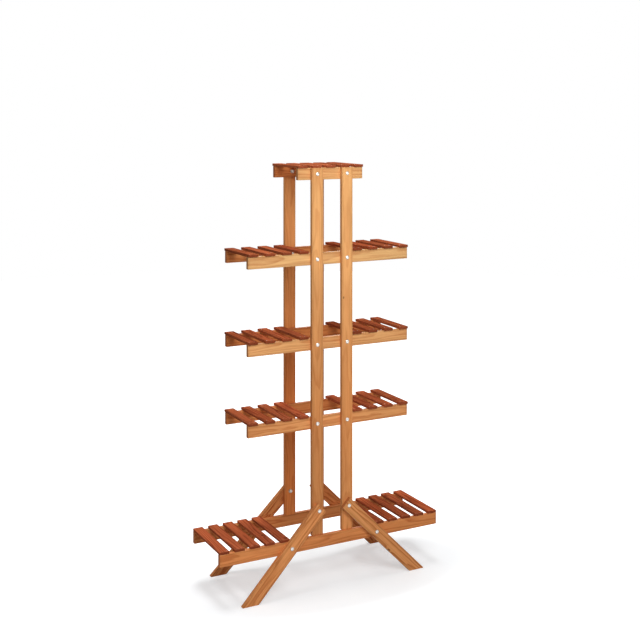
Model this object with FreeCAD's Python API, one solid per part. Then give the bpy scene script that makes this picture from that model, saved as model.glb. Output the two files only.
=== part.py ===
"""Five-tier plant stand of stained softwood boards, bolted together.

Frame: +X to the right, +Y to the back, +Z up, origin on the floor at the middle of the stand.
Tier 1 is the top shelf and tier 5 the bottom one. All lengths are in millimetres.
"""
import FreeCAD, Part
import math
import os

# ---------------------------------------------------------------------------
# Driving dimensions
# ---------------------------------------------------------------------------

# Board sections
frame_board_thickness = 14.0    # posts, rails and legs
post_width = 40.0
rail_height = 39.0
leg_width = 40.0
slat_width = 33.0
slat_thickness = 8.0
edge_rounding = 1.2             # radius on the edges of the boards

# Plan
post_centre_x = 55.0            # middle of a post, from the middle of the stand
post_clear_depth = 188.0        # between the inner faces of the front and back posts
top_rail_length = 240.0
wing_rail_length = 591.0        # tiers 2, 3 and 4
bottom_rail_length = 800.0
bottom_rail_step = 6.5          # the bottom rails' outer faces, outside those of the posts
wing_post_gap = 7.5             # from a post's side to the nearest slat, tiers 2, 3 and 4
bottom_wing_span = 242.0        # the slatted length at each end of tier 5
slat_overhang = 6.0             # past the rails' outer faces, tiers 1 to 4

# Heights
bottom_rail_underside = 130.0   # above the floor
rise_5_to_4 = 381.0             # from one tier's rails to the next tier's
rise_4_to_3 = 256.0
rise_3_to_2 = 277.0
rise_2_to_1 = 277.0

# Slat counts
top_slat_count = 5
wing_slat_count = 4             # on each side, tiers 2, 3 and 4
bottom_slat_count = 5           # on each side, tier 5

# Legs
leg_angle_deg = 45.0            # from the floor
leg_bolt_rise = 82.0            # upper leg bolt, above the foot of the post
leg_end_margin = 14.0           # from the upper leg bolt to the leg's square-cut end

# Post foot: a stub tenon in a mortise in the bottom rail
tenon_width = 24.0
tenon_thickness = 4.0
tenon_length = 16.0
tenon_side_clearance = 0.15
tenon_end_clearance = 0.8

# Bolts and nuts
bolt_diameter = 6.0
bolt_hole_clearance = 0.3       # radial
bolt_head_diameter = 12.5
bolt_head_height = 2.8
bolt_head_rim = 0.9             # straight side of the head under its dome
bolt_seat_margin = 0.5          # radial, of the spot-faced seats on the legs past the bolt heads
bolt_seat_depth = 0.2           # of those seats where they are shallowest
bolt_socket_flats = 4.0
bolt_socket_depth = 1.8
bolt_thread_end = 2.5           # thread that stands out past the nut
bolt_end_chamfer = 0.8
nut_flats = 10.0
nut_height = 6.0
nut_flange_diameter = 13.0
nut_flange_thickness = 1.3
nut_chamfer_deg = 30.0          # of the hexagon's free end
nut_thread_clearance = 0.05     # radial

# Brads
brad_diameter = 1.4
brad_head_diameter = 2.2
brad_head_thickness = 0.8
brad_length = 20.0
brad_spacing = 16.0             # between the two brads in a slat's end
brad_clearance = 0.05           # radial

# ---------------------------------------------------------------------------
# Places worked out from the driving dimensions
# ---------------------------------------------------------------------------

post_inner_y = post_clear_depth / 2
post_outer_y = post_inner_y + frame_board_thickness

rail_underside = {5: bottom_rail_underside}
rail_underside[4] = rail_underside[5] + rise_5_to_4
rail_underside[3] = rail_underside[4] + rise_4_to_3
rail_underside[2] = rail_underside[3] + rise_3_to_2
rail_underside[1] = rail_underside[2] + rise_2_to_1
rail_top = {tier: z + rail_height for tier, z in rail_underside.items()}
rail_middle = {tier: z + rail_height / 2 for tier, z in rail_underside.items()}

rail_length = {
    1: top_rail_length,
    2: wing_rail_length,
    3: wing_rail_length,
    4: wing_rail_length,
    5: bottom_rail_length,
}
# The posts stand on the bottom rails, which step out a little; the other rails lie inside the posts.
rail_outer_y = {tier: post_inner_y for tier in rail_length}
rail_outer_y[5] = post_outer_y + bottom_rail_step
rail_inner_y = {tier: y - frame_board_thickness for tier, y in rail_outer_y.items()}
slat_length = {tier: 2 * (y + slat_overhang) for tier, y in rail_outer_y.items()}
slat_length[5] = 2 * rail_outer_y[5]

post_foot_z = rail_top[5]
post_top_z = rail_top[1]
# The tenon lies in the middle of what the post and the bottom rail share.
tenon_y = (rail_inner_y[5] + post_outer_y) / 2

leg_angle = math.radians(leg_angle_deg)
leg_upper_bolt_z = post_foot_z + leg_bolt_rise
leg_lower_bolt_z = rail_middle[5]
leg_lower_bolt_x = post_centre_x + (leg_upper_bolt_z - leg_lower_bolt_z) / math.tan(leg_angle)
# A leg bears on the post at its upper bolt and on the bottom rail at its lower one, so it splays.
leg_splay = math.atan(bottom_rail_step / (leg_upper_bolt_z - leg_lower_bolt_z))
leg_size_y = frame_board_thickness / math.cos(leg_splay)
bolt_seat_radius = bolt_head_diameter / 2 + bolt_seat_margin
bolt_seat_sink = bolt_seat_depth + bolt_seat_radius * math.tan(leg_splay)

bolt_shank_length = 2 * frame_board_thickness + nut_height + bolt_thread_end
bolt_hole_radius = bolt_diameter / 2 + bolt_hole_clearance

X_AXIS = FreeCAD.Vector(1, 0, 0)
Y_AXIS = FreeCAD.Vector(0, 1, 0)
Z_AXIS = FreeCAD.Vector(0, 0, 1)
# Side names with the sign of their axis
LEFT_RIGHT = {"left": -1, "right": 1}
FRONT_BACK = {"front": -1, "back": 1}


# ---------------------------------------------------------------------------
# Shared shapes
# ---------------------------------------------------------------------------

def bolted_tiers():
    """The tiers whose rails are bolted inside the posts: all but the bottom one."""
    return [tier for tier in rail_length if tier != 5]


def board(size_x, size_y, size_z, centre_x, centre_y, bottom_z):
    """A board with rounded edges, centred in X and Y on the given point."""
    corner = FreeCAD.Vector(centre_x - size_x / 2, centre_y - size_y / 2, bottom_z)
    blank = Part.makeBox(size_x, size_y, size_z, corner)
    return rounded(blank, min(size_x, size_y, size_z))


def rounded(blank, thinnest, edges=None):
    """The blank with its edges rounded, all or the given ones, never past a third of its thinnest size."""
    radius = min(edge_rounding, thinnest / 3)
    return blank.makeFillet(radius, edges or blank.Edges)


def placed_along_y(shape, x, y, z, direction):
    """A copy of a shape made on +Z, turned so that its +Z points along direction times Y."""
    turned = shape.copy()
    turned.rotate(FreeCAD.Vector(0, 0, 0), X_AXIS, -90 * direction)
    turned.translate(FreeCAD.Vector(x, y, z))
    return turned


def cylinder_along_y(radius, length, x, y, z, direction):
    """A cylinder from the given point along direction times Y, with its seam above or below its axis."""
    cylinder = Part.makeCylinder(radius, length)
    cylinder.rotate(FreeCAD.Vector(0, 0, 0), Z_AXIS, 90)
    return placed_along_y(cylinder, x, y, z, direction)


def bolt_hole(x, z, inner_y, outer_y):
    """A cylinder that cuts a bolt's hole through a board, from its inner face to past its outer face."""
    margin = 1.0
    direction = math.copysign(1, outer_y)
    length = abs(outer_y - inner_y) + 2 * margin
    return cylinder_along_y(bolt_hole_radius, length, x, inner_y - direction * margin, z, direction)


def hexagon_prism(across_flats, height, start_z):
    """A hexagonal prism on the Z axis, from start_z up."""
    corner_radius = across_flats / math.sqrt(3)
    corners = []
    for k in range(7):
        angle = math.radians(60 * k)
        x = corner_radius * math.cos(angle)
        y = corner_radius * math.sin(angle)
        corners.append(FreeCAD.Vector(x, y, start_z))
    return Part.Face(Part.makePolygon(corners)).extrude(Z_AXIS * height)


def revolved(profile):
    """A solid turned about the Z axis from a closed (radius, z) profile of straight lines."""
    points = [FreeCAD.Vector(radius, 0, z) for radius, z in profile]
    wire = Part.makePolygon(points + points[:1])
    return Part.Face(wire).revolve(FreeCAD.Vector(0, 0, 0), Z_AXIS, 360)


# ---------------------------------------------------------------------------
# Boards
# ---------------------------------------------------------------------------

def make_post(side_x, side_y):
    """An upright post that stands on the bottom rail, with its tenon and its bolt holes."""
    x = side_x * post_centre_x
    y = side_y * (post_inner_y + frame_board_thickness / 2)
    post = board(post_width, frame_board_thickness, post_top_z - post_foot_z, x, y, post_foot_z)
    # The tenon's root runs up inside the post, past the rounded edges of its foot.
    tenon_root = 2 * edge_rounding
    tenon_low_y = side_y * tenon_y - tenon_thickness / 2
    tenon_corner = FreeCAD.Vector(x - tenon_width / 2, tenon_low_y, post_foot_z - tenon_length)
    tenon = Part.makeBox(tenon_width, tenon_thickness, tenon_length + tenon_root, tenon_corner)
    post = post.fuse(tenon).removeSplitter()
    bolt_heights = [rail_middle[tier] for tier in bolted_tiers()]
    bolt_heights.append(leg_upper_bolt_z)
    for z in bolt_heights:
        post = post.cut(bolt_hole(x, z, side_y * post_inner_y, side_y * post_outer_y))
    return post


def leg_inner_y(z):
    """How far out the inner face of a splayed leg lies at the height z."""
    return post_outer_y + (leg_upper_bolt_z - z) * math.tan(leg_splay)


def leg_bolt_seat_y(z):
    """How far out the head of a leg's bolt seats, in a shallow spot face on the leg's outer face."""
    return leg_inner_y(z) + leg_size_y - bolt_seat_sink


def make_leg(side_x, side_y):
    """A slanted and splayed leg, square-cut at the top and cut level with the floor at the bottom."""
    along = FreeCAD.Vector(side_x * math.cos(leg_angle), 0, -math.sin(leg_angle))
    across = FreeCAD.Vector(side_x * math.sin(leg_angle), 0, math.cos(leg_angle))
    upper_bolt = FreeCAD.Vector(side_x * post_centre_x, 0, leg_upper_bolt_z)
    top = upper_bolt - along * leg_end_margin
    upper_corner = top + across * (leg_width / 2)
    lower_corner = top - across * (leg_width / 2)
    upper_foot = upper_corner + along * (upper_corner.z / math.sin(leg_angle))
    lower_foot = lower_corner + along * (lower_corner.z / math.sin(leg_angle))
    corners = [upper_corner, upper_foot, lower_foot, lower_corner]
    inner = [FreeCAD.Vector(p.x, side_y * leg_inner_y(p.z), p.z) for p in corners]
    blank = Part.Face(Part.makePolygon(inner + inner[:1])).extrude(Y_AXIS * (side_y * leg_size_y))
    # The inner face keeps sharp edges, because it bears on the post and the bottom tier.
    outer_edges = [edge for edge in blank.Edges if not all(on_leg_inner_face(v.Point) for v in edge.Vertexes)]
    leg = rounded(blank, frame_board_thickness, outer_edges)
    cutters = leg_flats(side_y)
    for x, z in ((post_centre_x, leg_upper_bolt_z), (leg_lower_bolt_x, leg_lower_bolt_z)):
        seat_y = side_y * leg_bolt_seat_y(z)
        cutters.append(bolt_hole(side_x * x, z, side_y * leg_inner_y(z), seat_y))
        cutters.append(cylinder_along_y(bolt_seat_radius, bolt_head_height, side_x * x, seat_y, z, side_y))
    return leg.cut(cutters)


def on_leg_inner_face(point):
    """Whether a corner of a leg's blank lies on its inner face."""
    return abs(abs(point.y) - leg_inner_y(point.z)) < leg_size_y / 2


def leg_flats(side_y):
    """Two boxes that cut the shallow flats by which a splayed leg bears on the post and the bottom tier."""
    bottom_tier_top = rail_top[5] + slat_thickness
    flats = []
    for face_y, low_z, high_z in (
        (rail_outer_y[5], 0, bottom_tier_top),
        (post_outer_y, bottom_tier_top, leg_upper_bolt_z + leg_width),
    ):
        corner = FreeCAD.Vector(-bottom_rail_length, min(0, side_y * face_y), low_z)
        flats.append(Part.makeBox(2 * bottom_rail_length, face_y, high_z - low_z, corner))
    return flats


def make_rail(tier, side_y):
    """A rail on edge with its bolt holes and brad holes, and the mortises of the bottom one."""
    outer_y = side_y * rail_outer_y[tier]
    inner_y = side_y * rail_inner_y[tier]
    middle_y = (outer_y + inner_y) / 2
    rail = board(rail_length[tier], frame_board_thickness, rail_height, 0, middle_y, rail_underside[tier])
    bolt_x = leg_lower_bolt_x if tier == 5 else post_centre_x
    cutters = []
    for side_x in LEFT_RIGHT.values():
        cutters.append(bolt_hole(side_x * bolt_x, rail_middle[tier], inner_y, outer_y))
        if tier == 5:
            cutters.append(mortise(side_x * post_centre_x, side_y * tenon_y))
    for slat_x in slat_centres(tier).values():
        for brad_x in brad_places(slat_x):
            cutters.append(brad_at(brad_x, middle_y, tier, brad_clearance))
    return rail.cut(cutters)


def mortise(centre_x, centre_y):
    """The pocket in the bottom rail for a post's tenon, open at the top."""
    width = tenon_width + 2 * tenon_side_clearance
    thickness = tenon_thickness + 2 * tenon_side_clearance
    depth = tenon_length + tenon_end_clearance
    corner = FreeCAD.Vector(centre_x - width / 2, centre_y - thickness / 2, rail_top[5] - depth)
    return Part.makeBox(width, thickness, depth + edge_rounding, corner)


def make_slat(tier, centre_x):
    """A slat across the two rails of its tier, with its four brad holes."""
    slat = board(slat_width, slat_length[tier], slat_thickness, centre_x, 0, rail_top[tier])
    cutters = []
    for side_y in FRONT_BACK.values():
        for brad_x in brad_places(centre_x):
            cutters.append(brad_at(brad_x, side_y * brad_line_y(tier), tier, brad_clearance))
    return slat.cut(cutters)


def spread(first, last, count):
    """Evenly spaced values from first to last."""
    step = (last - first) / (count - 1)
    return [first + step * k for k in range(count)]


def slat_centres(tier):
    """Slat names of a tier with the X of each slat's middle."""
    outer = rail_length[tier] / 2 - slat_width / 2
    if tier == 1:
        return {str(k + 1): x for k, x in enumerate(spread(-outer, outer, top_slat_count))}
    if tier == 5:
        inner = rail_length[5] / 2 - bottom_wing_span + slat_width / 2
        count = bottom_slat_count
    else:
        inner = post_centre_x + post_width / 2 + wing_post_gap + slat_width / 2
        count = wing_slat_count
    centres = {}
    for side, sign in LEFT_RIGHT.items():
        for k, x in enumerate(spread(inner, outer, count)):
            centres[side + str(k + 1)] = sign * x
    return centres


# ---------------------------------------------------------------------------
# Fasteners
# ---------------------------------------------------------------------------

def make_bolt():
    """A bolt on the Z axis: its head rises from z = 0 and its shank runs down."""
    shank = bolt_diameter / 2
    tip = -bolt_shank_length
    shaft = revolved([
        (0, 0),
        (shank, 0),
        (shank, tip + bolt_end_chamfer),
        (shank - bolt_end_chamfer, tip),
        (0, tip),
    ])
    socket = hexagon_prism(bolt_socket_flats, bolt_head_height, bolt_head_height - bolt_socket_depth)
    return shaft.fuse(bolt_head()).cut(socket)


def bolt_head():
    """A round head with a straight rim under a low dome."""
    radius = bolt_head_diameter / 2
    rise = bolt_head_height - bolt_head_rim
    dome_radius = (radius ** 2 + rise ** 2) / (2 * rise)
    rim = Part.makeCylinder(radius, bolt_head_height)
    dome = Part.makeSphere(dome_radius, FreeCAD.Vector(0, 0, bolt_head_height - dome_radius))
    return rim.common(dome)


def make_nut():
    """A hexagon nut with a flange, seated on z = 0 and rising along +Z."""
    flange = Part.makeCylinder(nut_flange_diameter / 2, nut_flange_thickness)
    body = hexagon_prism(nut_flats, nut_height, 0)
    # A wide cone takes the corners off the hexagon's free end.
    end_radius = nut_flats / 2
    cone_spread = nut_height / math.tan(math.radians(nut_chamfer_deg))
    trim = Part.makeCone(end_radius + cone_spread, end_radius, nut_height)
    bore = Part.makeCylinder(bolt_diameter / 2 + nut_thread_clearance, nut_height)
    return flange.fuse(body.common(trim)).cut(bore)


def bolt_places():
    """Every bolt as (x, z, y of its head's seat, y of its nut's seat) for the right-hand back corner."""
    places = [(post_centre_x, rail_middle[tier], post_outer_y, rail_inner_y[tier]) for tier in bolted_tiers()]
    places.append((post_centre_x, leg_upper_bolt_z, leg_bolt_seat_y(leg_upper_bolt_z), post_inner_y))
    places.append((leg_lower_bolt_x, leg_lower_bolt_z, leg_bolt_seat_y(leg_lower_bolt_z), rail_inner_y[5]))
    return places


def make_bolts_and_nuts():
    """All the bolts, heads outward, and all the nuts, each on the inner face of the bolt's second board."""
    bolt = make_bolt()
    nut = make_nut()
    bolts = []
    nuts = []
    for side_x in LEFT_RIGHT.values():
        for side_y in FRONT_BACK.values():
            for x, z, head_y, nut_y in bolt_places():
                bolts.append(placed_along_y(bolt, side_x * x, side_y * head_y, z, side_y))
                nuts.append(placed_along_y(nut, side_x * x, side_y * nut_y, z, -side_y))
    return Part.makeCompound(bolts), Part.makeCompound(nuts)


def brad_line_y(tier):
    """How far from the middle the brads of a tier lie: on the middle line of its rails."""
    return rail_outer_y[tier] - frame_board_thickness / 2


def brad_places(slat_x):
    """The X of the two brads in one end of a slat."""
    return (slat_x - brad_spacing / 2, slat_x + brad_spacing / 2)


def brad_at(x, y, tier, clearance):
    """A brad with its head flush with the slat's top; with a clearance, the hole that takes it."""
    top = rail_top[tier] + slat_thickness
    shank = brad_diameter / 2 + clearance
    head = brad_head_diameter / 2 + clearance
    brad = revolved([
        (0, 0),
        (head, 0),
        (head, -brad_head_thickness - clearance),
        (shank, -brad_head_thickness - clearance),
        (shank, -brad_length - clearance),
        (0, -brad_length - clearance),
    ])
    brad.translate(FreeCAD.Vector(x, y, top))
    return brad


def make_brads():
    """All the brads, two in each end of each slat."""
    brads = []
    for tier in rail_length:
        for slat_x in slat_centres(tier).values():
            for side_y in FRONT_BACK.values():
                for brad_x in brad_places(slat_x):
                    brads.append(brad_at(brad_x, side_y * brad_line_y(tier), tier, 0))
    return Part.makeCompound(brads)


# ---------------------------------------------------------------------------
# The stand
# ---------------------------------------------------------------------------

def build():
    """Every node of the stand by name."""
    nodes = {}
    for y_name, side_y in FRONT_BACK.items():
        for x_name, side_x in LEFT_RIGHT.items():
            nodes["post_" + y_name + "_" + x_name] = make_post(side_x, side_y)
            nodes["leg_" + y_name + "_" + x_name] = make_leg(side_x, side_y)
        for tier in rail_length:
            nodes["rail_tier" + str(tier) + "_" + y_name] = make_rail(tier, side_y)
    for tier in rail_length:
        for name, x in slat_centres(tier).items():
            nodes["slat_tier" + str(tier) + "_" + name] = make_slat(tier, x)
    nodes["frame_bolts"], nodes["frame_nuts"] = make_bolts_and_nuts()
    nodes["slat_brads"] = make_brads()
    return nodes


os.makedirs("parts", exist_ok=True)
for node_name, shape in build().items():
    shape.exportStep("parts/" + node_name + ".step")
    box = shape.BoundBox
    print(node_name, "solids", len(shape.Solids), "volume", round(shape.Volume), "valid", shape.isValid())
    print("   x %.1f to %.1f, y %.1f to %.1f, z %.1f to %.1f"
          % (box.XMin, box.XMax, box.YMin, box.YMax, box.ZMin, box.ZMax))
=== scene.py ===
"""Dresses the tiered plant stand in stained pine and plated steel, in a plain white studio.

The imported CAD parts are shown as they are. Each board gets its own material, made from shared node groups
whose coordinates run along that board: X along its length, Y across its width and Z through its thickness,
in metres from the board's centre.
"""

import logging
import math
import random
from dataclasses import dataclass, field
from enum import Enum
from typing import Iterable, Protocol, Sequence, Union

import bpy
import numpy as np
from mathutils import Matrix, Vector


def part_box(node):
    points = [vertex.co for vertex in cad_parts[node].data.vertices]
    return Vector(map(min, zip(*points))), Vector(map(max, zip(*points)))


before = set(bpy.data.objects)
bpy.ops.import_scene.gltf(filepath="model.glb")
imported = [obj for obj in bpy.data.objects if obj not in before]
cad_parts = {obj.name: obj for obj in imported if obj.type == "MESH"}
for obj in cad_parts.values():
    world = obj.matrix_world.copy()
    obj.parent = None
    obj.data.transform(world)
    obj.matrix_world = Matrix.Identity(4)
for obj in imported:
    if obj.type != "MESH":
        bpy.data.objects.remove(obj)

LOG = logging.getLogger("plant_stand")
Socket = bpy.types.NodeSocket
Value = Union[float, Sequence[float], bpy.types.NodeSocket]
Colour = tuple[float, float, float]
# Some boards' tones also hold painted light and shade: the posts, the back rails and the back legs.
Tone = tuple[float, float]  # how light and how red a board's stain is, as toned() takes them

X, Y, Z = Vector((1, 0, 0)), Vector((0, 1, 0)), Vector((0, 0, 1))

BRIGHTEST = 0.95  # the most of any colour that a stain gives back
BLUE_LOSS = 1.5  # how much more blue than green goes from a stain that is made redder
BARK: Colour = (0.02, 0.006, 0.003)
# the colour that the edges go paler towards: bare wood and a painted highlight
BARE_PINE_AND_HIGHLIGHT: Colour = (0.85, 0.62, 0.38)
TARNISH: Colour = (0.16, 0.11, 0.07)

TREE_SHIFT = (0.2, 3.0)  # metres by which a board's noises are moved, so that no two boards are alike
HEART_ACROSS = 0.018  # how far to either side of a board's middle the trunk's heart may lie
KNOT_REACH = (0.9, 0.7)  # the share of a board's half length and half width that holds knots
KNOT_RADII = (0.0016, 0.0042)  # metres, of the knots that come by chance
GRAIN_DEPTH = 0.0003  # metres from the lowest to the highest marks in the wood
PLATE_DEPTH = 0.00008  # the same in the plate


def stain(red: int, green: int, blue: int) -> Colour:
    """Turns a colour from 0 to 255, as a screen shows it, into the linear colour that a shader takes.

    Args:
        red: The red part, 0 to 255.
        green: The green part, 0 to 255.
        blue: The blue part, 0 to 255.

    Returns:
        The linear colour.
    """
    # A screen's own curve: a straight line for the darkest colours, and then a power.
    parts = np.array([red, green, blue], float) / 255.0
    linear = np.where(parts <= 0.04045, parts / 12.92, ((parts + 0.055) / 1.055) ** 2.4)
    return (float(linear[0]), float(linear[1]), float(linear[2]))


def toned(colour: Colour, light: float, red: float) -> Colour:
    """Makes a colour lighter or darker, and redder or yellower.

    Args:
        colour: The linear colour.
        light: What all three parts are multiplied by.
        red: Above 0 takes that share of the green, and more of the blue, away; below 0 adds it.

    Returns:
        The linear colour, kept under 1.
    """
    return (
        min(BRIGHTEST, colour[0] * light),
        min(BRIGHTEST, colour[1] * light * (1.0 - red)),
        min(BRIGHTEST, colour[2] * light * (1.0 - BLUE_LOSS * red)),
    )


class Noise(Enum):
    """The soft noises: cells in a metre along X, Y and Z, finer layers, and how strong those layers are."""

    SLOW_WANDER = ((2.6, 11, 11), 2.0, 0.5)
    QUICK_WANDER = ((11, 60, 60), 2.0, 0.5)
    FIBRE = ((24, 1100, 1100), 3.0, 0.6)
    STREAK = ((5, 190, 190), 3.0, 0.6)
    BLOTCH = ((4, 26, 26), 2.0, 0.5)
    CANAL = ((95, 2300, 2300), 1.0, 0.5)
    KNOT_EDGE = ((170, 170, 170), 2.0, 0.5)
    # breaks up the paler edges, scuffed wood and a painted highlight
    RUBBING_AND_HIGHLIGHT = ((38, 150, 150), 3.0, 0.6)
    # breaks up the darker band along the edges, dirt and painted shade
    GRIME_AND_EDGE_SHADE = ((20, 60, 60), 2.0, 0.5)
    CRYSTALS = ((2600, 2600, 2600), 2.0, 0.6)
    PATCHES = ((330, 330, 330), 3.0, 0.6)
    SPECKS = ((900, 900, 900), 1.0, 0.5)
    PAPER = ((40, 40, 40), 3.0, 0.5)


class Wiring:
    """Adds nodes to one shader tree and joins their sockets."""

    def __init__(self, tree: bpy.types.NodeTree) -> None:
        """Keeps the tree that the nodes go into."""
        self.tree = tree

    def node(self, kind: str, **settings: object) -> bpy.types.Node:
        """Adds one node.

        Args:
            kind: The node's type name.
            **settings: Properties of the node and their values.

        Returns:
            The node.
        """
        made = self.tree.nodes.new(kind)
        for name, value in settings.items():
            setattr(made, name, value)
        return made

    def put(self, socket: Socket, value: Value) -> None:
        """Joins a socket to another one, or writes a constant in it.

        Args:
            socket: The input to fill.
            value: An output to join it to, or a number, vector or colour.
        """
        if isinstance(value, bpy.types.NodeSocket):
            self.tree.links.new(value, socket)
        elif socket.type == "RGBA" and len(value) == 3:
            socket.default_value = (*value, 1.0)
        else:
            socket.default_value = value

    def maths(self, operation: str, *values: Value, clamp: bool = False) -> Socket:
        """Works out one number from others.

        Args:
            operation: The Math node's operation.
            *values: Its inputs in order.
            clamp: Whether the result is kept from 0 to 1.

        Returns:
            The result's socket.
        """
        made = self.node("ShaderNodeMath", operation=operation, use_clamp=clamp)
        for socket, value in zip(made.inputs, values):
            self.put(socket, value)
        return made.outputs[0]

    def times(self, first: Value, *others: Value) -> Value:
        """Multiplies a number by others, one after the other.

        Args:
            first: The number.
            *others: What it is multiplied by.

        Returns:
            The product's socket.
        """
        for other in others:
            first = self.maths("MULTIPLY", first, other)
        return first

    def total(self, start: Value, *weighed: tuple[Value, Value]) -> Value:
        """Adds numbers to a first one, each multiplied by its weight.

        Args:
            start: What the sum starts from.
            *weighed: Each number and its weight.

        Returns:
            The sum's socket.
        """
        for value, weight in weighed:
            start = self.maths("MULTIPLY_ADD", value, weight, start)
        return start

    def distance(self, first: Value, second: Value) -> Socket:
        """Works out how far off a point is from its distances along two square axes."""
        square = self.maths("ADD", self.times(first, first), self.times(second, second))
        return self.maths("SQRT", square)

    def vectors(self, operation: str, *values: Value) -> Socket:
        """Works out one vector from others.

        Args:
            operation: The Vector Math node's operation, one that gives a vector.
            *values: Its inputs in order.

        Returns:
            The result's socket.
        """
        made = self.node("ShaderNodeVectorMath", operation=operation)
        for socket, value in zip(made.inputs, values):
            self.put(socket, value)
        return made.outputs[0]

    def parts(self, vector: Value) -> tuple[Socket, Socket, Socket]:
        """Splits a vector.

        Args:
            vector: The vector's socket.

        Returns:
            The sockets of its X, Y and Z.
        """
        made = self.node("ShaderNodeSeparateXYZ")
        self.put(made.inputs[0], vector)
        return made.outputs[0], made.outputs[1], made.outputs[2]

    def ease(self, value: Value, start: Value, end: Value, low: float = 0.0, high: float = 1.0) -> Socket:
        """Goes smoothly from low to high while the value goes from start to end.

        Args:
            value: The number that is read.
            start: Where the change starts.
            end: Where it ends, which may be less than start.
            low: The result up to start.
            high: The result from end on.

        Returns:
            The result's socket.
        """
        made = self.node("ShaderNodeMapRange", interpolation_type="SMOOTHSTEP", clamp=True)
        for socket, given in zip(made.inputs, (value, start, end, low, high)):
            self.put(socket, given)
        return made.outputs[0]

    def noise(self, place: Value, kind: Noise) -> Socket:
        """Reads a soft noise, from 0 to 1.

        Args:
            place: The place that is read, in metres.
            kind: Which of the noises it is.

        Returns:
            The noise's socket.
        """
        cells, layers, strength = kind.value
        made = self.node("ShaderNodeTexNoise", noise_dimensions="3D")
        self.put(made.inputs["Vector"], self.vectors("MULTIPLY", place, cells))
        for name, value in (("Scale", 1.0), ("Detail", layers), ("Roughness", strength), ("Distortion", 0.0)):
            made.inputs[name].default_value = value
        return made.outputs[0]

    def blend(self, share: Value, first: Value, second: Value, way: str = "MIX") -> Socket:
        """Mixes two colours. The Mix node's sockets for colours share their names, so they go by number.

        Args:
            share: How much of the second colour there is, 0 to 1.
            first: The first colour.
            second: The second colour.
            way: The Mix node's blend type.

        Returns:
            The mixed colour's socket.
        """
        made = self.node("ShaderNodeMix", data_type="RGBA", blend_type=way, clamp_factor=True)
        for index, value in ((0, share), (6, first), (7, second)):
            self.put(made.inputs[index], value)
        return made.outputs[2]

    def use(self, group: bpy.types.ShaderNodeTree, **values: Value) -> bpy.types.NodeOutputs:
        """Places a node group.

        Args:
            group: The group.
            **values: Its inputs by name, with _ for a blank.

        Returns:
            The group's outputs.
        """
        made = self.node("ShaderNodeGroup", node_tree=group)
        for name, value in values.items():
            self.put(made.inputs[name.replace("_", " ")], value)
        return made.outputs

    def coat(
        self, shader: bpy.types.Node, look: bpy.types.NodeOutputs, relief: float, depth: float
    ) -> None:
        """Joins a finish's colour, roughness and height to a material's shader.

        Args:
            shader: The material's shader.
            look: The outputs of the finish's group.
            relief: How strongly the height shows.
            depth: How deep the height's full range is, in metres.
        """
        self.put(shader.inputs["Base Color"], look["Colour"])
        self.put(shader.inputs["Roughness"], look["Roughness"])
        bump = self.node("ShaderNodeBump")
        bump.inputs["Strength"].default_value = relief
        bump.inputs["Distance"].default_value = depth
        self.put(bump.inputs["Height"], look["Height"])
        self.put(shader.inputs["Normal"], bump.outputs[0])


class GroupWiring(Wiring):
    """A new shader node group with named inputs and outputs, and the wiring inside it."""

    def __init__(self, name: str, inputs: dict[str, str], outputs: dict[str, str]) -> None:
        """Makes the group and its sockets.

        Args:
            name: The group's name.
            inputs: Each input's name and whether it is a Float, Vector or Color.
            outputs: The same for the outputs.
        """
        super().__init__(bpy.data.node_groups.new(name, "ShaderNodeTree"))
        for side, sockets in (("INPUT", inputs), ("OUTPUT", outputs)):
            for label, kind in sockets.items():
                self.tree.interface.new_socket(label, in_out=side, socket_type=f"NodeSocket{kind}")
        self.given = self.node("NodeGroupInput").outputs
        self.result = self.node("NodeGroupOutput").inputs


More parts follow.
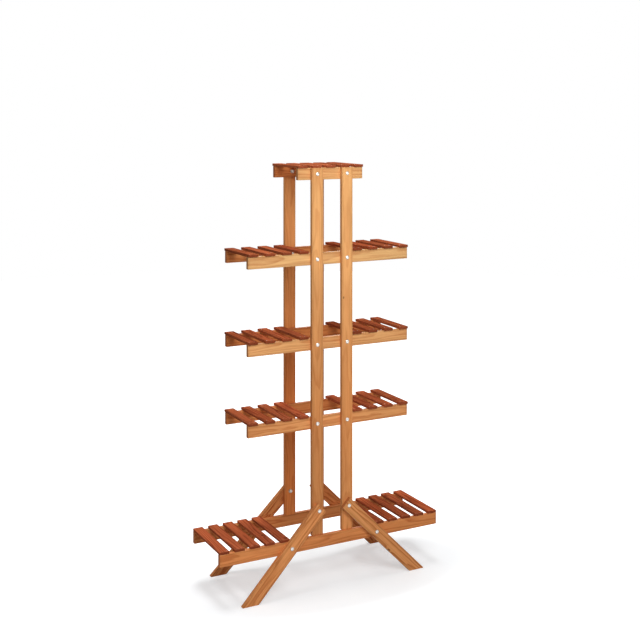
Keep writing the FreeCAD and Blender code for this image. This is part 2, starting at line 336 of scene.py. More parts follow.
class Joinery:
    """The node groups that the finishes share. Each is built once."""

    growth_masks = ("Late Wood", "Fibre", "Streak", "Blotch", "Canal")
    knot_masks = ("Core", "Rim")
    arris_masks = ("Wear And Highlight", "End", "Grime And Edge Shade")

    def __init__(self) -> None:
        """Builds every group."""
        self.growth = self._growth()
        self.knot = self._knot()
        self.arris = self._arris()
        self.varnish = self._varnish()
        self.plate = self._plate()

    def _growth(self) -> bpy.types.ShaderNodeTree:
        """Growth rings and fibres of a sawn board.

        A ring is a step in the distance from the trunk's heart, a line that runs along the board outside it.
        Two noises, long along the board and short across it, make the rings wander, and a knot pushes them
        aside. In a ring the wood goes from pale to dark slowly and back fast, and each ring has its own
        strength. Fibres and streaks are noises stretched along the board.

        Returns:
            The group.
        """
        wires = GroupWiring(
            "pine_growth",
            {"Board": "Vector", "Push": "Float", "Heart": "Vector", "Ring": "Float", "Tree": "Vector"},
            dict.fromkeys(self.growth_masks, "Float"),
        )
        wander, tremble = 0.020, 0.0036
        early, darkest, year_end = 0.30, 0.86, 0.99
        weakest = 0.45
        board, result = wires.given["Board"], wires.result
        place = wires.vectors("ADD", board, wires.given["Tree"])
        slow = wires.total(-wander / 2, (wires.noise(place, Noise.SLOW_WANDER), wander))
        quick = wires.total(-tremble / 2, (wires.noise(place, Noise.QUICK_WANDER), tremble))
        _, across, through = wires.parts(wires.vectors("SUBTRACT", board, wires.given["Heart"]))
        reach = wires.maths("ADD", wires.distance(across, through), wires.maths("ADD", slow, quick))
        turn = wires.maths("DIVIDE", wires.maths("ADD", reach, wires.given["Push"]), wires.given["Ring"])
        part = wires.maths("FRACT", turn)
        year = wires.node("ShaderNodeTexWhiteNoise", noise_dimensions="1D")
        wires.put(year.inputs["W"], wires.maths("FLOOR", turn))
        strength = wires.total(weakest, (year.outputs["Value"], 1.0 - weakest))
        late = wires.times(wires.ease(part, early, darkest), wires.ease(part, darkest, year_end, 1.0, 0.0))
        wires.put(result["Late Wood"], wires.times(late, strength))
        wires.put(result["Fibre"], wires.noise(place, Noise.FIBRE))
        wires.put(result["Streak"], wires.noise(place, Noise.STREAK))
        wires.put(result["Blotch"], wires.noise(place, Noise.BLOTCH))
        wires.put(result["Canal"], wires.ease(wires.noise(place, Noise.CANAL), 0.70, 0.78))
        return wires.tree

    def _knot(self) -> bpy.types.ShaderNodeTree:
        """One knot that goes through a board's thickness.

        The distance from the knot's line, squeezed along the board and made uneven by noise, is measured in
        the knot's own radius. It gives a dark core with fine rings and a darker rim. The growth rings round
        the knot are pushed out by a bell-shaped amount.

        Returns:
            The group.
        """
        wires = GroupWiring(
            "pine_knot",
            {"Board": "Vector", "Place": "Vector", "Radius": "Float"},
            dict.fromkeys((*self.knot_masks, "Push"), "Float"),
        )
        squeeze, ring_turns, bell_width, push = 0.72, 15.0, -0.16, 0.7
        board, radius, result = wires.given["Board"], wires.given["Radius"], wires.result
        along, across, _ = wires.parts(wires.vectors("SUBTRACT", board, wires.given["Place"]))
        away = wires.distance(wires.times(along, squeeze), across)
        uneven = wires.total(0.75, (wires.noise(board, Noise.KNOT_EDGE), 0.5))
        share = wires.times(wires.maths("DIVIDE", away, radius), uneven)
        rings = wires.total(0.84, (wires.maths("SINE", wires.times(share, ring_turns)), 0.16))
        wires.put(result["Core"], wires.times(wires.ease(share, 1.05, 0.80), rings))
        wires.put(result["Rim"], wires.times(wires.ease(share, 0.72, 0.98), wires.ease(share, 1.35, 1.0)))
        bell = wires.maths("EXPONENT", wires.times(share, share, bell_width))
        wires.put(result["Push"], wires.times(bell, radius, push))
        return wires.tree

    def _arris(self) -> bpy.types.ShaderNodeTree:
        """How near a point is to a board's long edges and to its ends.

        The depth under each pair of faces is the half size less the distance from the centre. The middle one
        of the three depths is nought along every edge, so it gives the paler edges, broken up by noise, which
        are scuffed wood and also a painted highlight on the arrises, and a wider darker band, which is dirt
        and also painted shade where boards meet. The depth under the ends gives the end grain.

        Returns:
            The group.
        """
        wires = GroupWiring(
            "board_arris",
            {"Board": "Vector", "Half": "Vector", "Tree": "Vector"},
            dict.fromkeys(self.arris_masks, "Float"),
        )
        worn_and_lit, end_grain, full = 0.0021, 0.0013, 0.0003
        grime_and_edge_shade, full_grime_and_edge_shade = 0.010, 0.001
        board, result = wires.given["Board"], wires.result
        deep = wires.parts(wires.vectors("SUBTRACT", wires.given["Half"], wires.vectors("ABSOLUTE", board)))
        low = wires.maths("MINIMUM", deep[0], deep[1])
        high = wires.maths("MAXIMUM", deep[0], deep[1])
        middle = wires.maths("MAXIMUM", low, wires.maths("MINIMUM", high, deep[2]))
        place = wires.vectors("ADD", board, wires.given["Tree"])
        rubbed_and_lit = wires.ease(wires.noise(place, Noise.RUBBING_AND_HIGHLIGHT), 0.36, 0.66)
        dirt_and_shade = wires.noise(place, Noise.GRIME_AND_EDGE_SHADE)
        # paler edges: scuffed wood and a painted highlight on the arrises
        wires.put(result["Wear And Highlight"], wires.times(wires.ease(middle, worn_and_lit, full), rubbed_and_lit))
        wires.put(result["End"], wires.ease(deep[0], end_grain, full))
        # darker band along the edges: dirt and painted shade where boards meet
        wires.put(result["Grime And Edge Shade"], wires.times(wires.ease(middle, grime_and_edge_shade, full_grime_and_edge_shade), dirt_and_shade))
        return wires.tree

    def _varnish(self) -> bpy.types.ShaderNodeTree:
        """Stained and varnished wood from the masks of the other groups.

        The stain goes from its pale to its deep colour with the late wood, the streaks and the fibres.
        Blotches make it lighter or darker. Knots and their rims, end grain and canals darken it, and so does
        a band along the edges that is dirt and painted shade where boards meet. The edges show paler wood,
        which is scuffed wood and a painted highlight. Varnish lies smoother on late wood, and rougher on end
        grain, on the paler edges and on canals.

        Returns:
            The group.
        """
        masks = (*self.growth_masks, *self.knot_masks, *self.arris_masks)
        wires = GroupWiring(
            "stain_and_varnish",
            dict.fromkeys(masks, "Float")
            | dict.fromkeys(("Pale", "Deep", "Heartwood"), "Color")
            | dict.fromkeys(("Contrast", "Rubbed"), "Float"),
            {"Colour": "Color", "Roughness": "Float", "Height": "Float"},
        )
        given = wires.given
        late, fibre, streak, blotch, canal, core, rim, wear_and_highlight, end, grime_and_edge_shade = (given[mask] for mask in masks)
        pale, deep, heartwood = given["Pale"], given["Deep"], given["Heartwood"]
        figure = wires.times(wires.total(-0.62, (streak, 1.5), (late, 0.85)), given["Contrast"])
        depth = wires.maths("ADD", figure, wires.total(-0.16, (fibre, 0.5)), clamp=True)
        blotches = wires.total(0.79, (blotch, 0.42))
        # the band along the edges darkens the wood: dirt and painted shade
        light = wires.times(blotches, wires.total(1.0, (grime_and_edge_shade, -0.26)), wires.total(1.0, (canal, -0.22)))
        colour = wires.blend(1.0, wires.blend(depth, pale, deep), light, "MULTIPLY")
        colour = wires.blend(wires.times(core, 0.8), colour, heartwood)
        colour = wires.blend(wires.times(rim, 0.7), colour, wires.blend(0.25, heartwood, BARK))
        colour = wires.blend(wires.times(end, 0.6), colour, wires.blend(0.35, deep, heartwood))
        # paler edges: scuffed wood and a painted highlight
        worn_and_lit = wires.times(wear_and_highlight, given["Rubbed"])
        wires.put(wires.result["Colour"], wires.blend(worn_and_lit, colour, wires.blend(0.35, pale, BARE_PINE_AND_HIGHLIGHT)))
        rough = wires.total(0.37, (late, -0.08), (fibre, 0.14), (end, 0.16), (wear_and_highlight, 0.08), (canal, 0.1))
        wires.put(wires.result["Roughness"], rough)
        height = wires.total(0.0, (late, 0.45), (fibre, 0.5), (streak, 0.35), (canal, -0.35), (rim, -0.5))
        wires.put(wires.result["Height"], height)
        return wires.tree

    def _plate(self) -> bpy.types.ShaderNodeTree:
        """Zinc plate on steel, with turned rings round each fastener's own axis.

        The distance from the nearest axis gives fine rings and a duller, darker rim, which is rougher zinc
        and also painted shade on the sloping edge of a head. A fine noise is the crystals of the zinc, and
        two coarser ones are its matt patches and the specks of tarnish.

        Returns:
            The group.
        """
        wires = GroupWiring(
            "zinc_plate",
            {"Place": "Vector", "Axis Distance": "Float", "Rim": "Float", "Bright": "Color", "Dull And Shaded": "Color"},
            {"Colour": "Color", "Roughness": "Float", "Height": "Float"},
        )
        turning = 21000.0  # in radians a metre, a ring every 0.3 mm
        given, result = wires.given, wires.result
        place, away, head = given["Place"], given["Axis Distance"], given["Rim"]
        crystals = wires.noise(place, Noise.CRYSTALS)
        patches = wires.ease(wires.noise(place, Noise.PATCHES), 0.38, 0.68)
        specks = wires.ease(wires.noise(place, Noise.SPECKS), 0.68, 0.76)
        turned = wires.total(0.5, (wires.maths("SINE", wires.times(away, turning)), 0.5))
        # the darker rim: rougher zinc and painted shade on a head's sloping edge
        rim = wires.ease(away, wires.times(head, 0.62), wires.times(head, 0.86))
        dull_and_shaded = wires.total(0.0, (patches, 0.30), (rim, 0.55), (crystals, 0.15))
        colour = wires.blend(dull_and_shaded, given["Bright"], given["Dull And Shaded"])
        wires.put(result["Colour"], wires.blend(wires.times(specks, 0.5), colour, TARNISH))
        wires.put(result["Roughness"], wires.total(0.24, (patches, 0.12), (rim, 0.12), (specks, 0.25)))
        wires.put(result["Height"], wires.total(0.0, (turned, 0.35), (crystals, 0.5), (specks, -0.4)))
        return wires.tree


def fresh(name: str) -> tuple[bpy.types.Material, Wiring, bpy.types.Node]:
    """Starts a material.

    Args:
        name: The material's name.

    Returns:
        The material, its wiring and its shader.
    """
    material = bpy.data.materials.new(name)
    material.use_nodes = True
    return material, Wiring(material.node_tree), material.node_tree.nodes["Principled BSDF"]


def paint(node: str, material: bpy.types.Material) -> None:
    """Gives a CAD node one material, in its object's material slots.

    Args:
        node: The CAD node's name.
        material: The material.
    """
    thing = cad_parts[node]
    if not thing.material_slots:
        thing.data.materials.append(material)
    for slot in thing.material_slots:
        slot.material = material


def named(start: str) -> list[str]:
    """Lists the CAD nodes whose names have this start, in order."""
    return sorted(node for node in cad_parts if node.startswith(start))


@dataclass(frozen=True)
class Knot:
    """One knot in a board: metres along and across it from its centre, and the knot's radius."""

    along: float
    across: float
    radius: float


class Cut(Enum):
    """How a board was sawn from the trunk, which sets how far the heart is under its middle."""

    FLAT = (0.020, 0.045)
    RIFT = (0.045, 0.085)


@dataclass(frozen=True)
class StainedPine:
    """Satin stained pine: its colours and the strength of its figure.

    ring is the least and the most that a growth ring is wide. The two spreads are how far the tone of one
    board may lie from the next one's.
    """

    pale: Colour
    deep: Colour
    contrast: float
    heartwood: Colour = stain(84, 38, 16)
    cut: Cut = Cut.FLAT
    ring: tuple[float, float] = (0.0026, 0.0046)
    relief: float = 0.35
    gloss: float = 0.03
    # how much paler the edges show: scuffed wood and a painted highlight
    rubbed_and_lit: float = 0.3
    knots_per_metre: float = 0.5
    light_spread: float = 0.07
    red_spread: float = 0.05


@dataclass
class Board:
    """One CAD board and the directions of its length and thickness, which place its grain.

    Its tone is that of the end that its length points to. far_tone, where it is given, is that of the other
    end, and the colour goes smoothly from one to the other between the two places of fade, in metres from the
    board's centre; on the posts this is painted shade, darker and redder towards the foot. knots are those
    that the board is given, besides the ones that come by chance.
    """

    node: str
    length: Vector
    thickness: Vector
    tone: Tone
    far_tone: Tone | None = None
    knots: list[Knot] = field(default_factory=list)
    half: Vector | None = None
    centre: Vector | None = None
    fade: tuple[float, float] = (0.5, -0.25)

    def __post_init__(self) -> None:
        """Takes the centre and half sizes from the CAD box where they aren't given."""
        self.length, self.thickness = self.length.normalized(), self.thickness.normalized()
        width = self.thickness.cross(self.length)
        self.turn = Matrix((self.length, width, self.thickness))
        low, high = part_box(self.node)
        if self.centre is None:
            self.centre = (low + high) / 2
        if self.half is None:
            spread = self.turn @ ((high - low) / 2)
            self.half = Vector((abs(spread.x), abs(spread.y), abs(spread.z)))

    def coordinates(self, wires: Wiring) -> Socket:
        """Centres and turns Object coordinates so that they run along the board.

        Args:
            wires: The material's wiring.

        Returns:
            The socket of the board's own coordinates.
        """
        mapping = wires.node("ShaderNodeMapping", vector_type="POINT")
        mapping.inputs["Rotation"].default_value = self.turn.to_euler("XYZ")
        mapping.inputs["Location"].default_value = -(self.turn @ self.centre)
        wires.put(mapping.inputs["Vector"], wires.node("ShaderNodeTexCoord").outputs["Object"])
        return mapping.outputs[0]

    def dress(self, joinery: Joinery, finish: StainedPine) -> None:
        """Makes the board's material and gives it to the CAD node.

        Args:
            joinery: The shared node groups.
            finish: The colours and figure of the wood.
        """
        chance = random.Random(f"pine {self.node}")
        material, wires, shader = fresh(f"pine_{self.node}")
        board = self.coordinates(wires)
        tree = tuple(chance.uniform(*TREE_SHIFT) for _ in range(3))
        under = chance.uniform(*finish.cut.value)
        heart = (0.0, chance.uniform(-HEART_ACROSS, HEART_ACROSS), -under)
        core, rim, push = self._knots(wires, joinery, board, chance, finish)
        ring = chance.uniform(*finish.ring)
        growth = wires.use(joinery.growth, Board=board, Push=push, Heart=heart, Ring=ring, Tree=tree)
        arris = wires.use(joinery.arris, Board=board, Half=tuple(self.half), Tree=tree)
        light = chance.uniform(1 - finish.light_spread, 1 + finish.light_spread)
        red = chance.uniform(-finish.red_spread, finish.red_spread)
        far = wires.ease(wires.parts(board)[0], *self.fade) if self.far_tone else 0.0
        varnish = wires.use(
            joinery.varnish,
            **{mask.replace(" ", "_"): growth[mask] for mask in joinery.growth_masks},
            **{mask: arris[mask] for mask in joinery.arris_masks},
            Core=core,
            Rim=rim,
            Pale=self._stained(wires, finish.pale, light, red, far),
            Deep=self._stained(wires, finish.deep, light, red, far),
            Heartwood=finish.heartwood,
            Contrast=finish.contrast,
            Rubbed=finish.rubbed_and_lit,
        )
        wires.coat(shader, varnish, finish.relief, GRAIN_DEPTH)
        shader.inputs["Specular IOR Level"].default_value = finish.gloss
        paint(self.node, material)

    def _stained(self, wires: Wiring, colour: Colour, light: float, red: float, far: Value) -> Value:
        """Tones one of the wood's colours for this board, with any painted light and shade that its tones
        hold.

        Args:
            wires: The material's wiring.
            colour: The wood's colour.
            light: What the board's light is multiplied by.
            red: What is added to the board's red.
            far: The share of the far end's tone.

        Returns:
            The colour, or its socket where the tone changes along the board.
        """
        near = toned(colour, self.tone[0] * light, self.tone[1] + red)
        if self.far_tone is None:
            return near
        return wires.blend(far, near, toned(colour, self.far_tone[0] * light, self.far_tone[1] + red))

    def _knots(
        self, wires: Wiring, joinery: Joinery, board: Socket, chance: random.Random, finish: StainedPine
    ) -> tuple[Value, Value, Value]:
        """Places the board's knots: those it is given, and small ones by chance.

        Args:
            wires: The material's wiring.
            joinery: The shared node groups.
            board: The board's coordinates.
            chance: The board's own seeded chance.
            finish: The wood.

        Returns:
            The masks of the knots' cores and rims, and how far they push the rings.
        """
        count = int(chance.random() + 2 * self.half.x * finish.knots_per_metre)
        knots = list(self.knots)
        while len(knots) < count:
            along = chance.uniform(-KNOT_REACH[0], KNOT_REACH[0]) * self.half.x
            across = chance.uniform(-KNOT_REACH[1], KNOT_REACH[1]) * self.half.y
            knots.append(Knot(along, across, chance.uniform(*KNOT_RADII)))
        core: Value = 0.0
        rim: Value = 0.0
        push: Value = 0.0
        for knot in knots:
            place = (knot.along, knot.across, 0.0)
            made = wires.use(joinery.knot, Board=board, Place=place, Radius=knot.radius)
            core = wires.maths("MAXIMUM", made["Core"], core)
            rim = wires.maths("MAXIMUM", made["Rim"], rim)
            push = wires.maths("ADD", made["Push"], push)
        return core, rim, push


@dataclass(frozen=True)
class PlatedSteel:
    """Zinc-plated steel: its bright colour, its darker one for matt patches and for the painted shade of a
    head's rim, and how strongly its fine marks show.
    """

    bright: Colour
    dull_and_shaded: Colour
    relief: float = 0.25

    def dress(self, joinery: Joinery, node: str, axes: Sequence[tuple[float, float]], rim: float) -> None:
        """Makes the metal's material and gives it to a CAD node of fasteners that point along Y.

        Args:
            joinery: The shared node groups.
            node: The CAD node's name.
            axes: The X, on both sides, and Z of the fasteners' axes. With none, the marks follow no axis.
            rim: The radius of a fastener's head.
        """
        material, wires, shader = fresh(f"steel_{node}")
        place = wires.node("ShaderNodeTexCoord").outputs["Object"]
        side, _, up = wires.parts(place)
        mirrored = wires.maths("ABSOLUTE", side)
        # with no axis, the distance is taken well inside the darker rim and its painted shade
        away: Value = rim * 0.4  # well inside the duller rim
        for index, (x, z) in enumerate(axes):
            reach = wires.distance(wires.maths("SUBTRACT", mirrored, x), wires.maths("SUBTRACT", up, z))
            away = wires.maths("MINIMUM", away, reach) if index else reach
        colours = {"Bright": self.bright, "Dull And Shaded": self.dull_and_shaded}
        plate = wires.use(joinery.plate, Place=place, Axis_Distance=away, Rim=rim, **colours)
        shader.inputs["Metallic"].default_value = 1.0
        wires.coat(shader, plate, self.relief, PLATE_DEPTH)
        paint(node, material)


class SubAssembly(Protocol):
    """A part of the stand that dresses its own CAD nodes."""

    def dress(self, joinery: Joinery) -> Iterable[str]:
        """Dresses the nodes, and gives each one's name when it is done."""


@dataclass
class Uprights:
    """The four posts. Each one's colour goes from one tone at its top to another at its foot; the foot's tone
    is painted shade, darker and redder, and the back posts' tops are painted lighter.
    """

    finish: StainedPine
    top: dict[str, Tone]
    foot: dict[str, Tone]
    knots: dict[str, list[Knot]]

    def dress(self, joinery: Joinery) -> Iterable[str]:
        """Dresses each post with its grain up it.

        Args:
            joinery: The shared node groups.

        Returns:
            The names of the posts.
        """
        for node in named("post_"):
            outward = -Y if "front" in node else Y
            post = Board(node, Z, outward, self.top[node], self.foot[node], self.knots.get(node, []))
            post.dress(joinery, self.finish)
            yield node


@dataclass
class SplayedLegs:
    """The four legs, which run down and out at 45 degrees and lean away from the posts.

    upper_bolt is the X and Z of the bolt that holds a leg to its post. The leg's upper end is end_margin
    past it, and its outer face would meet the floor foot_face from the stand's middle plane.
    """

    finish: StainedPine
    front: Tone
    back: Tone
    lean: float
    width: float
    thickness: float
    upper_bolt: tuple[float, float]
    end_margin: float
    foot_face: float
    knots: dict[str, list[Knot]]

    def dress(self, joinery: Joinery) -> Iterable[str]:
        """Dresses each leg with its grain down it.

        Args:
            joinery: The shared node groups.

        Returns:
            The names of the legs.
        """
        across, height = self.upper_bolt
        slope = math.tan(self.lean)
        for node in named("leg_"):
            side = -1.0 if "left" in node else 1.0
            front = -1.0 if "front" in node else 1.0
            down = Vector((side, front * slope, -1.0)).normalized()
            outward = Vector((0.0, front, slope))
            length = self.end_margin - height / down.z + self.width / 2
            half = Vector((length, self.width, self.thickness)) / 2
            centre = Vector((side * across, 0.0, height)) + down * (half.x - self.end_margin)
            centre.y = front * (self.foot_face - centre.z * slope - half.z / math.cos(self.lean))
            # the back legs' tone is painted shade: darker and redder than the front legs'
            tone = self.front if "front" in node else self.back
            leg = Board(node, down, outward, tone, None, self.knots.get(node, []), half, centre)
            leg.dress(joinery, self.finish)
            yield node


@dataclass
class TierRails:
    """The front and back rail of each tier. The back ones are painted darker, and all of one red: painted
    shade, as their inner faces lie under the slats.
    """

    finish: StainedPine
    front: dict[int, Tone]
    back_shade_light: float
    back_shade_red: float

    def dress(self, joinery: Joinery) -> Iterable[str]:
        """Dresses each rail with its grain along it.

        Args:
            joinery: The shared node groups.

        Returns:
            The names of the rails.
        """
        for node in named("rail_tier"):
            light, red = self.front[int(node[len("rail_tier")])]
            outward = -Y
            if "back" in node:
                # the back rails take painted shade: darker, and of one red
                outward, light, red = Y, light * self.back_shade_light, self.back_shade_red
            Board(node, X, outward, (light, red)).dress(joinery, self.finish)
            yield node


@dataclass
class SlatShelves:
    """The slats of every tier, which share that tier's tone."""

    finish: StainedPine
    tones: dict[int, Tone]

    def dress(self, joinery: Joinery) -> Iterable[str]:
        """Dresses each slat with its grain along it, from front to back.

        Args:
            joinery: The shared node groups.

        Returns:
            The names of the slats.
        """
        for node in named("slat_tier"):
            Board(node, Y, Z, self.tones[int(node[len("slat_tier")])]).dress(joinery, self.finish)
            yield node


@dataclass
class Fasteners:
    """The bolts, nuts and brads. leg_bolts are the X, on both sides, and Z of the bolts through the legs."""

    bolt: PlatedSteel
    nut: PlatedSteel
    brad: PlatedSteel
    bolt_rim: float
    nut_rim: float
    leg_bolts: Sequence[tuple[float, float]]

    def axes(self) -> list[tuple[float, float]]:
        """Finds the bolts' axes: one at each upper rail's mid height, behind the post, and the legs' own.

        Returns:
            The X and Z of each axis on one side.
        """
        low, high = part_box("post_front_right")
        across = (low.x + high.x) / 2
        places = []
        for tier in (1, 2, 3, 4):
            bottom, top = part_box(f"rail_tier{tier}_front")
            places.append((across, (bottom.z + top.z) / 2))
        return places + list(self.leg_bolts)

    def dress(self, joinery: Joinery) -> Iterable[str]:
        """Dresses the three nodes of fasteners.

        Args:
            joinery: The shared node groups.

        Returns:
            Their names.
        """
        places = self.axes()
        self.bolt.dress(joinery, "frame_bolts", places, self.bolt_rim)
        yield "frame_bolts"
        self.nut.dress(joinery, "frame_nuts", places, self.nut_rim)
        yield "frame_nuts"
        self.brad.dress(joinery, "slat_brads", [], self.bolt_rim)
        yield "slat_brads"


@dataclass(frozen=True)
class Lamp:
    """A square soft lamp: where it is, what it points at, its side and its power."""

    name: str
    place: tuple[float, float, float]
    aim: tuple[float, float, float]
    side: float
    power: float

    def hang(self) -> None:
        """Puts the lamp in the scene."""
        data = bpy.data.lights.new(self.name, "AREA")
        data.shape, data.size, data.energy = "SQUARE", self.side, self.power
        lamp = bpy.data.objects.new(self.name, data)
        lamp.visible_camera = False
        bpy.context.scene.collection.objects.link(lamp)
        lamp.location = self.place
        lamp.rotation_euler = (Vector(self.aim) - Vector(self.place)).to_track_quat("-Z", "Y").to_euler()


@dataclass
class Studio:
    """The pale floor, the white surround, the lamps and the camera.

    The floor shines by floor_lift in an oval round shadow_centre with the half sizes shadow_half, and goes
    over to white at shadow_fade times those. surround is the strength of the even light on the stand. The
    focal length and the horizon's height are in pixels, of a picture that is that many pixels wide.
    """

    floor_radius: float
    floor_colour: Colour
    floor_lift: float
    shadow_centre: tuple[float, float, float]
    shadow_half: tuple[float, float, float]
    shadow_fade: float
    surround: float
    lamps: Sequence[Lamp]
    eye: tuple[float, float, float]
    heading: float
    focal_pixels: float
    horizon: float
    pixels: int

    def build(self) -> None:
        """Makes the whole studio."""
        self._floor()
        self._surround()
        for lamp in self.lamps:
            lamp.hang()
        self._camera()
        bpy.context.scene.view_settings.view_transform = "Standard"

    @staticmethod
    def _seen(wires: Wiring) -> Socket:
        """Tells the rays that show the background: those of the camera, and those in gloss or glass.

        Args:
            wires: The wiring of the floor's material or of the world.

        Returns:
            A socket that is 1 for those rays and 0 for the others.
        """
        path = wires.node("ShaderNodeLightPath").outputs
        gloss = wires.maths("MAXIMUM", path["Is Glossy Ray"], path["Is Transmission Ray"])
        return wires.maths("MAXIMUM", path["Is Camera Ray"], gloss)

    def _floor(self) -> None:
        """Makes the floor: a disc whose points are a radius times the cosine and sine of an angle.

        The radii grow with the square of their number, so that the grid is finest under the stand. The disc
        lies a hair under the feet, so that it shares no plane with them.
        """
        rings, spokes, drop = 24, 96, 0.0002
        radius = (np.arange(1, rings + 1) / rings) ** 2 * self.floor_radius
        angle = np.arange(spokes) * 2 * math.pi / spokes
        grid = np.stack([np.outer(radius, np.cos(angle)), np.outer(radius, np.sin(angle))], -1)
        points = np.vstack([np.zeros((1, 2)), grid.reshape(-1, 2)])
        points = np.hstack([points, np.full((len(points), 1), -drop)])
        here = np.arange(spokes)
        after = (here + 1) % spokes
        middle = np.stack([np.zeros(spokes, int), 1 + here, 1 + after], -1)
        start = 1 + np.arange(rings - 1)[:, None] * spokes
        bands = np.stack([start + here, start + spokes + here, start + spokes + after, start + after], -1)
        mesh = bpy.data.meshes.new("studio_floor")
        mesh.from_pydata(points.tolist(), [], middle.tolist() + bands.reshape(-1, 4).tolist())
        mesh.validate()
        floor = bpy.data.objects.new("studio_floor", mesh)
        bpy.context.scene.collection.objects.link(floor)
        mesh.materials.append(self._paper())

    def _paper(self) -> bpy.types.Material:
        """Makes the floor's paper, which the lamps light and which shines as well where it is seen.

        It shines less in the oval under the stand, so that the stand's shadow shows there, and more
        towards the white beyond it.

        Returns:
            The material.
        """
        material = bpy.data.materials.new("studio_floor")
        material.use_nodes = True
        material.node_tree.nodes.clear()
        wires = Wiring(material.node_tree)
        place = wires.node("ShaderNodeTexCoord").outputs["Object"]
        away = wires.node("ShaderNodeVectorMath", operation="LENGTH")
        offset = wires.vectors("SUBTRACT", place, self.shadow_centre)
        wires.put(away.inputs[0], wires.vectors("DIVIDE", offset, self.shadow_half))
        paper = wires.node("ShaderNodeBsdfDiffuse")
        grain = wires.total(0.985, (wires.noise(place, Noise.PAPER), 0.03))
        wires.put(paper.inputs["Color"], wires.blend(1.0, self.floor_colour, grain, "MULTIPLY"))
        glow = wires.node("ShaderNodeEmission")
        lift = wires.ease(away.outputs["Value"], 1.0, self.shadow_fade, self.floor_lift, 1.0)
        wires.put(glow.inputs["Strength"], wires.times(self._seen(wires), lift))
        both = wires.node("ShaderNodeAddShader")
        wires.put(both.inputs[0], paper.outputs[0])
        wires.put(both.inputs[1], glow.outputs[0])
        wires.put(wires.node("ShaderNodeOutputMaterial").inputs["Surface"], both.outputs[0])
        return material

    def _surround(self) -> None:
        """Makes the world white where it is seen, and a soft even light elsewhere."""
        world = bpy.data.worlds.new("studio_surround")
        bpy.context.scene.world = world
        world.use_nodes = True
        world.node_tree.nodes.clear()
        wires = Wiring(world.node_tree)
        sky = wires.node("ShaderNodeBackground")
        sky.inputs["Color"].default_value = (1.0, 1.0, 1.0, 1.0)
        strength = wires.total(self.surround, (self._seen(wires), 1.0 - self.surround))
        wires.put(sky.inputs["Strength"], strength)
        wires.put(wires.node("ShaderNodeOutputWorld").inputs["Surface"], sky.outputs[0])

    def _camera(self) -> None:
        """Places the camera, level, with its shift as the height of the horizon asks."""
        data = bpy.data.cameras.new("viewpoint")
        data.sensor_fit, data.sensor_width = "HORIZONTAL", 36.0
        data.lens = self.focal_pixels / self.pixels * data.sensor_width
        data.shift_y = (self.horizon - self.pixels / 2) / self.pixels
        camera = bpy.data.objects.new("viewpoint", data)
        bpy.context.scene.collection.objects.link(camera)
        camera.location = self.eye
        camera.rotation_euler = (math.radians(90), 0.0, self.heading)
        bpy.context.scene.camera = camera


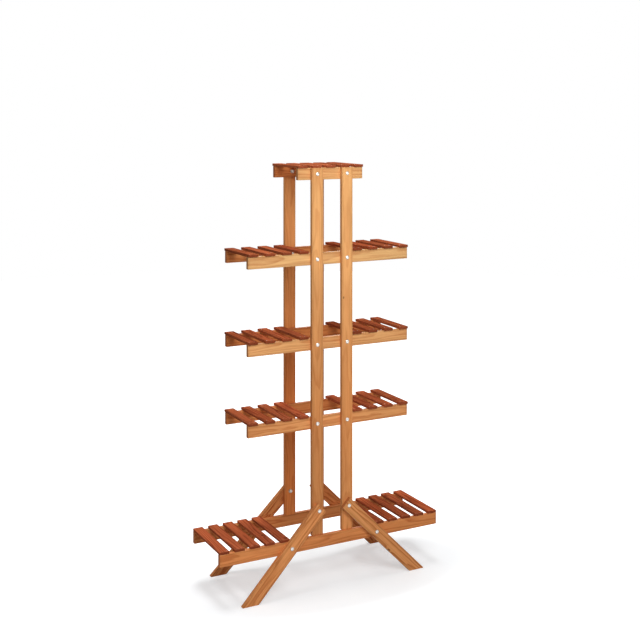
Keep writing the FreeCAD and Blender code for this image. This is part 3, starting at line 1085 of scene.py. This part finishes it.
def stand() -> list[SubAssembly]:
    """Lists the stand's sub-assemblies with their finishes.

    Returns:
        The sub-assemblies in the order they are dressed.
    """
    post = StainedPine(
        pale=stain(230, 166, 105),
        deep=stain(184, 106, 54),
        contrast=0.45,
        cut=Cut.RIFT,
        ring=(0.0022, 0.0036),
        knots_per_metre=0.0,
    )
    rail = StainedPine(
        pale=stain(230, 168, 108), deep=stain(180, 100, 54), contrast=0.62, knots_per_metre=0.2
    )
    leg = StainedPine(
        pale=stain(236, 168, 106),
        deep=stain(176, 96, 48),
        contrast=0.85,
        cut=Cut.RIFT,
        ring=(0.0024, 0.004),
        knots_per_metre=0.0,
    )
    # Darker and redder than the other boards: partly the slats' own stain, partly painted shade on their
    # tops.
    slat = StainedPine(
        pale=stain(194, 104, 66),
        deep=stain(128, 56, 34),
        contrast=0.85,
        light_spread=0.15,
        gloss=0.0,
        rubbed_and_lit=0.1,
    )
    return [
        Uprights(
            post,
            # Each post's tones follow its light: every foot is painted darker and redder, painted shade, and
            # the back posts' tops are painted lighter.
            top={
                "post_front_left": (1.02, -0.03),
                "post_front_right": (1.1, -0.05),
                "post_back_left": (1.28, 0.1),
                "post_back_right": (1.15, 0.1),
            },
            foot={
                "post_front_left": (0.84, 0.18),
                "post_front_right": (1.06, 0.17),
                "post_back_left": (1.04, 0.3),
                "post_back_right": (1.0, 0.28),
            },
            knots={"post_front_right": [Knot(0.1755, 0.0140, 0.0022)]},
        ),
        SplayedLegs(
            leg,
            front=(1.04, 0.08),
            # painted shade on the back legs
            back=(0.88, 0.14),
            lean=math.radians(3.66),
            width=0.040,
            thickness=0.014,
            upper_bolt=(0.055, 0.251),
            end_margin=0.014,
            foot_face=0.13802,
            knots={"leg_front_right": [Knot(0.0405, -0.0180, 0.0034)]},
        ),
        TierRails(
            rail,
            front={1: (1.1, -0.13), 2: (1.1, -0.15), 3: (1.04, -0.09), 4: (1.13, 0.11), 5: (1.12, 0.23)},
            back_shade_light=0.84,
            back_shade_red=0.24,
        ),
        SlatShelves(
            slat, tones={1: (1.25, -0.08), 2: (1.0, 0.0), 3: (1.0, 0.0), 4: (1.24, 0.0), 5: (1.08, 0.03)}
        ),
        Fasteners(
            # the second, darker colours also give the painted shade on the heads' rims
            bolt=PlatedSteel(stain(232, 228, 222), stain(126, 121, 114)),
            nut=PlatedSteel(stain(222, 218, 210), stain(158, 152, 142)),
            brad=PlatedSteel(stain(128, 92, 68), stain(84, 56, 40)),
            bolt_rim=0.00625,
            nut_rim=0.0065,
            leg_bolts=((0.055, 0.251), (0.1565, 0.1495)),
        ),
    ]


def studio() -> Studio:
    """Sets out the studio.

    Returns:
        The studio, not yet built.
    """
    return Studio(
        floor_radius=7.0,
        floor_colour=(0.60, 0.62, 0.635),
        floor_lift=0.46,
        shadow_centre=(0.02, -0.05, 0.0),
        shadow_half=(0.47, 0.21, 1.0),
        shadow_fade=1.7,
        surround=0.13,
        lamps=[
            Lamp("front_lamp", (-0.3, -1.8, 1.96), (0.0, 0.0, 1.25), 1.2, 35.0),
            Lamp("left_lamp", (-3.2, -0.8, 1.8), (0.0, 0.0, 0.7), 1.8, 4.5),
            Lamp("back_lamp", (1.9, 3.0, 2.2), (0.0, 0.0, 0.7), 1.8, 34.0),
            Lamp("overhead_lamp", (-0.4, 0.5, 7.0), (0.0, 0.0, 0.0), 2.2, 208.0),
        ],
        eye=(-1.7047, -3.2760, 1.53887),
        heading=math.radians(-27.629),
        focal_pixels=1100.973,
        horizon=112.894,
        pixels=640,
    )


def main() -> None:
    """Builds the studio, then dresses each sub-assembly in order and reports its pieces."""
    logging.basicConfig(level=logging.INFO, format="%(name)s: %(message)s")
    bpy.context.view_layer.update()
    studio().build()
    joinery = Joinery()
    for part in stand():
        for node in part.dress(joinery):
            LOG.info("%s dressed in %s", node, type(part).__name__)


if __name__ == "__main__":
    main()
